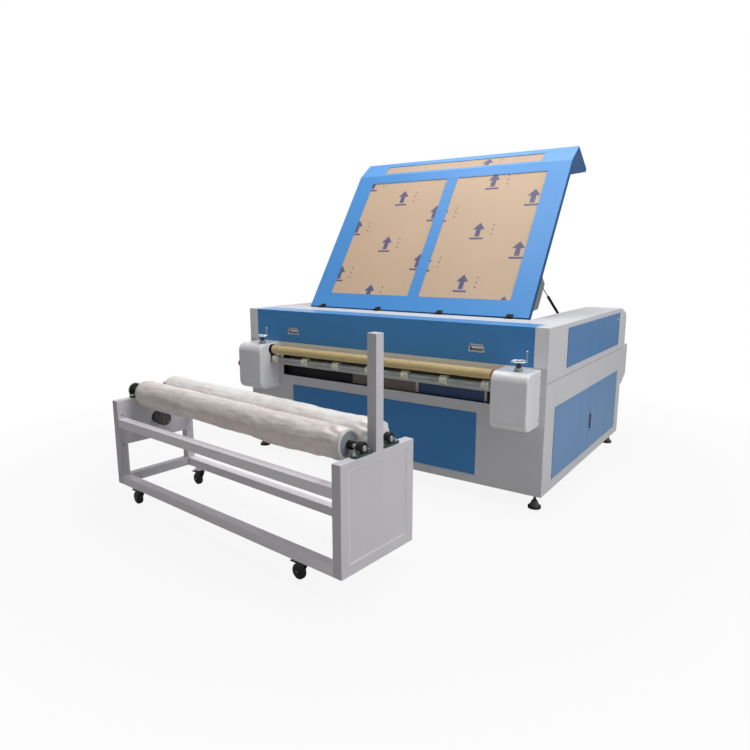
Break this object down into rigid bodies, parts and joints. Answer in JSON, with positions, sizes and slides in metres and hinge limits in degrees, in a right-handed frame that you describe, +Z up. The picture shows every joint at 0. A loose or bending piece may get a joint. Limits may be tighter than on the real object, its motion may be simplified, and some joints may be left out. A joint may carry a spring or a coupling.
{
  "type": "fabric laser cutting machine",
  "caption": "Wide fabric laser cutter with raised hinged lid, conveyor bed, gantry, feed rollers with handwheels and a separate roller feeding cart on casters.",
  "frame": {"origin": "on the floor, at the middle of the outline that the machine and its cart cover together", "axes": "+Z up, +X to the right and +Y away from someone who stands at the feed side, so the cart is at -Y and the operator side at +Y"},
  "size_m": [2.2928, 3.241, 2.1818],
  "materials": {
    "white_powder_coat": "fine textured powder coat, satin",
    "white_gloss_paint": "glossy paint",
    "blue_panel_paint": "satin powder coat",
    "lid_blue_paint": "satin powder coat",
    "window_pane": "clear panes under brown protective film",
    "black_hinge_paint": "satin black",
    "chromed_rod": "polished",
    "bright_steel": "ground",
    "machined_aluminium": "anodised",
    "feed_roller_wrap": "aluminium tube under brown wrapping paper",
    "pinch_wheel_plastic": "moulded",
    "belt_fabric": "woven wire and polymer belt",
    "laser_glass": "clear",
    "black_plastic": "moulded, fine grain",
    "brass_nozzle": "turned",
    "red_button": "gloss",
    "grey_cart_paint": "textured powder coat",
    "wrapped_roller": "rubber covered roller under milky film",
    "green_iron": "dark green enamel",
    "black_motor_paint": "satin black",
    "caster_steel": "black",
    "caster_rubber": "matt"
  },
  "bodies": {
    "machine": {"lower_cabinet": "white_powder_coat", "levelling_feet": "caster_steel", "fixed_panels": "blue_panel_paint", "front_shelf": "white_powder_coat", "right_arm": "white_powder_coat", "left_arm": "white_powder_coat", "rear_casing": "white_powder_coat", "hinge_bases": "black_hinge_paint", "gearbox_left": "white_gloss_paint", "gearbox_right": "white_gloss_paint", "bearing_plates": "bright_steel", "support_bar": "bright_steel", "bed_frame": "black_hinge_paint", "conveyor_belt": "belt_fabric", "laser_tube": "laser_glass", "tube_holders": "machined_aluminium", "power_supply": "black_hinge_paint", "control_panel": "black_plastic"},
    "lid": {"lid_frame": "lid_blue_paint", "lid_windows": "window_pane", "lid_hinges": "black_hinge_paint"},
    "strut_tube_left": {"strut_tube_left": "black_hinge_paint"},
    "strut_rod_left": {"strut_rod_left": "chromed_rod"},
    "strut_tube_right": {"strut_tube_right": "black_hinge_paint"},
    "strut_rod_right": {"strut_rod_right": "chromed_rod"},
    "rear_cover": {"rear_cover": "blue_panel_paint", "flush_cups": "chromed_rod"},
    "bail_left": {"bail_left": "chromed_rod"},
    "bail_right": {"bail_right": "chromed_rod"},
    "side_door_near": {"side_door_near": "blue_panel_paint"},
    "side_door_far": {"side_door_far": "blue_panel_paint"},
    "door_latch": {"door_latch": "black_plastic"},
    "access_door": {"access_door": "blue_panel_paint"},
    "feed_roller": {"feed_roller": "feed_roller_wrap"},
    "handwheel_left": {"handwheel_left": "chromed_rod"},
    "handwheel_right": {"handwheel_right": "chromed_rod"},
    "drive_roller": {"drive_roller": "bright_steel"},
    "idler_roller": {"idler_roller": "bright_steel"},
    "gantry": {"gantry": "machined_aluminium"},
    "laser_head": {"laser_head": "black_plastic"},
    "nozzle": {"nozzle": "brass_nozzle"},
    "stop_button": {"stop_button": "red_button"},
    "pinch_shaft": {"pinch_shaft": "bright_steel", "pinch_wheels": "pinch_wheel_plastic"},
    "cart": {"cart_end_box": "grey_cart_paint", "cart_left_end": "grey_cart_paint", "cart_beams": "grey_cart_paint", "roller_bearings": "green_iron", "drive_motor": "black_motor_paint"},
    "near_roller": {"near_roller": "wrapped_roller"},
    "far_roller": {"far_roller": "wrapped_roller"},
    "motor_shaft": {"motor_shaft": "bright_steel"},
    "caster_near_left": {"caster_near_left": "caster_steel"},
    "wheel_near_left": {"wheel_near_left": "caster_rubber"},
    "caster_near_right": {"caster_near_right": "caster_steel"},
    "wheel_near_right": {"wheel_near_right": "caster_rubber"},
    "caster_far_left": {"caster_far_left": "caster_steel"},
    "wheel_far_left": {"wheel_far_left": "caster_rubber"},
    "caster_far_right": {"caster_far_right": "caster_steel"},
    "wheel_far_right": {"wheel_far_right": "caster_rubber"}
  },
  "joints": [
    {"name": "lid_hinge", "type": "hinge", "parent": "machine", "child": "lid", "pos_m": [0, 0.1555, 1.068], "axis": [1, 0, 0], "range_deg": [-56.5, 0]},
    {"name": "strut_pivot_left", "type": "hinge", "parent": "machine", "child": "strut_tube_left", "pos_m": [-0.848, 0.8725, 1.002], "axis": [1, 0, 0], "range_deg": [0, 37.61]},
    {"name": "strut_slide_left", "type": "slide", "parent": "strut_tube_left", "child": "strut_rod_left", "axis": [0, -0.8663, 0.4996], "range_m": [-0.10424, 0]},
    {"name": "strut_pivot_right", "type": "hinge", "parent": "machine", "child": "strut_tube_right", "pos_m": [0.848, 0.8725, 1.002], "axis": [1, 0, 0], "range_deg": [0, 37.61]},
    {"name": "strut_slide_right", "type": "slide", "parent": "strut_tube_right", "child": "strut_rod_right", "axis": [0, -0.8663, 0.4996], "range_m": [-0.10424, 0]},
    {"name": "cover_hinge", "type": "hinge", "parent": "machine", "child": "rear_cover", "pos_m": [0, -0.0435, 1.06], "axis": [1, 0, 0], "range_deg": [-80, 0]},
    {"name": "bail_left_hinge", "type": "hinge", "parent": "rear_cover", "child": "bail_left", "pos_m": [-0.712, -0.2115, 0.925], "axis": [1, 0, 0], "range_deg": [-80, 0]},
    {"name": "bail_right_hinge", "type": "hinge", "parent": "rear_cover", "child": "bail_right", "pos_m": [0.712, -0.2115, 0.925], "axis": [1, 0, 0], "range_deg": [-80, 0]},
    {"name": "near_door_hinge", "type": "hinge", "parent": "machine", "child": "side_door_near", "pos_m": [1.1435, -0.0585, 0.388], "axis": [0, 0, 1], "range_deg": [-110, 0]},
    {"name": "far_door_hinge", "type": "hinge", "parent": "machine", "child": "side_door_far", "pos_m": [1.1435, 1.3465, 0.388], "axis": [0, 0, 1], "range_deg": [0, 110]},
    {"name": "latch_turn", "type": "hinge", "parent": "side_door_far", "child": "door_latch", "pos_m": [1.1435, 0.677, 0.388], "axis": [1, 0, 0], "range_deg": [0, 90]},
    {"name": "access_door_hinge", "type": "hinge", "parent": "machine", "child": "access_door", "pos_m": [1.1435, 0.1115, 0.913], "axis": [0, 0, 1], "range_deg": [-110, 0]},
    {"name": "feed_spin", "type": "hinge", "parent": "machine", "child": "feed_roller", "pos_m": [0, -0.2885, 0.786], "axis": [1, 0, 0], "continuous": true},
    {"name": "pinch_spin", "type": "hinge", "parent": "machine", "child": "pinch_shaft", "pos_m": [0, -0.2885, 0.721], "axis": [1, 0, 0], "continuous": true},
    {"name": "handwheel_left_turn", "type": "hinge", "parent": "machine", "child": "handwheel_left", "pos_m": [-0.901, -0.3385, 0.882], "axis": [0, 0, 1], "continuous": true},
    {"name": "handwheel_right_turn", "type": "hinge", "parent": "machine", "child": "handwheel_right", "pos_m": [1.021, -0.3385, 0.882], "axis": [0, 0, 1], "continuous": true},
    {"name": "drive_spin", "type": "hinge", "parent": "machine", "child": "drive_roller", "pos_m": [0, -0.1185, 0.675], "axis": [1, 0, 0], "continuous": true},
    {"name": "idler_spin", "type": "hinge", "parent": "machine", "child": "idler_roller", "pos_m": [0, 1.3715, 0.675], "axis": [1, 0, 0], "continuous": true},
    {"name": "gantry_travel", "type": "slide", "parent": "machine", "child": "gantry", "axis": [0, 1, 0], "range_m": [-0.53, 0.53]},
    {"name": "head_travel", "type": "slide", "parent": "gantry", "child": "laser_head", "axis": [1, 0, 0], "range_m": [-0.95, 0.53]},
    {"name": "nozzle_height", "type": "slide", "parent": "laser_head", "child": "nozzle", "axis": [0, 0, 1], "range_m": [-0.008, 0.008]},
    {"name": "stop_press", "type": "slide", "parent": "machine", "child": "stop_button", "axis": [0, -1, 0], "range_m": [0, 0.005], "stiffness_N_per_m": 500},
    {"name": "cart_roll", "type": "slide", "parent": "machine", "child": "cart", "axis": [-0.0854, -0.9963, 0], "range_m": [0, 0.6]},
    {"name": "near_roller_spin", "type": "hinge", "parent": "cart", "child": "near_roller", "pos_m": [0.80567, -1.46108, 0.6483], "axis": [0.9963, -0.0854, 0], "continuous": true},
    {"name": "far_roller_spin", "type": "hinge", "parent": "cart", "child": "far_roller", "pos_m": [0.82147, -1.27676, 0.6483], "axis": [0.9963, -0.0854, 0], "continuous": true},
    {"name": "motor_spin", "type": "hinge", "parent": "cart", "child": "motor_shaft", "pos_m": [0.81335, -1.37141, 0.475], "axis": [0.9963, -0.0854, 0], "continuous": true},
    {"name": "swivel_near_left", "type": "hinge", "parent": "cart", "child": "caster_near_left", "pos_m": [-0.8434, -1.43814, 0.089], "axis": [0, 0, 1], "continuous": true},
    {"name": "wheel_spin_near_left", "type": "hinge", "parent": "caster_near_left", "child": "wheel_near_left", "pos_m": [-0.8713, -1.43575, 0.0375], "axis": [0.0854, 0.9963, 0], "continuous": true},
    {"name": "swivel_near_right", "type": "hinge", "parent": "cart", "child": "caster_near_right", "pos_m": [0.52458, -1.55542, 0.089], "axis": [0, 0, 1], "continuous": true},
    {"name": "wheel_spin_near_right", "type": "hinge", "parent": "caster_near_right", "child": "wheel_near_right", "pos_m": [0.49668, -1.55303, 0.0375], "axis": [0.0854, 0.9963, 0], "continuous": true},
    {"name": "swivel_far_left", "type": "hinge", "parent": "cart", "child": "caster_far_left", "pos_m": [-0.80787, -1.02366, 0.089], "axis": [0, 0, 1], "continuous": true},
    {"name": "wheel_spin_far_left", "type": "hinge", "parent": "caster_far_left", "child": "wheel_far_left", "pos_m": [-0.83576, -1.02127, 0.0375], "axis": [0.0854, 0.9963, 0], "continuous": true},
    {"name": "swivel_far_right", "type": "hinge", "parent": "cart", "child": "caster_far_right", "pos_m": [0.56012, -1.14094, 0.089], "axis": [0, 0, 1], "continuous": true},
    {"name": "wheel_spin_far_right", "type": "hinge", "parent": "caster_far_right", "child": "wheel_far_right", "pos_m": [0.53222, -1.13855, 0.0375], "axis": [0.0854, 0.9963, 0], "continuous": true}
  ],
  "couplings": [
    {"joint": "strut_pivot_left", "follows": "lid_hinge", "ratio": -0.66393},
    {"joint": "strut_slide_left", "follows": "lid_hinge", "m_per_rad": 0.1052},
    {"joint": "strut_pivot_right", "follows": "lid_hinge", "ratio": -0.66393},
    {"joint": "strut_slide_right", "follows": "lid_hinge", "m_per_rad": 0.1052},
    {"joint": "pinch_spin", "follows": "feed_spin", "ratio": -1.1111},
    {"joint": "idler_spin", "follows": "drive_spin", "ratio": 1},
    {"joint": "motor_spin", "follows": "near_roller_spin", "ratio": 1.5333}
  ]
}
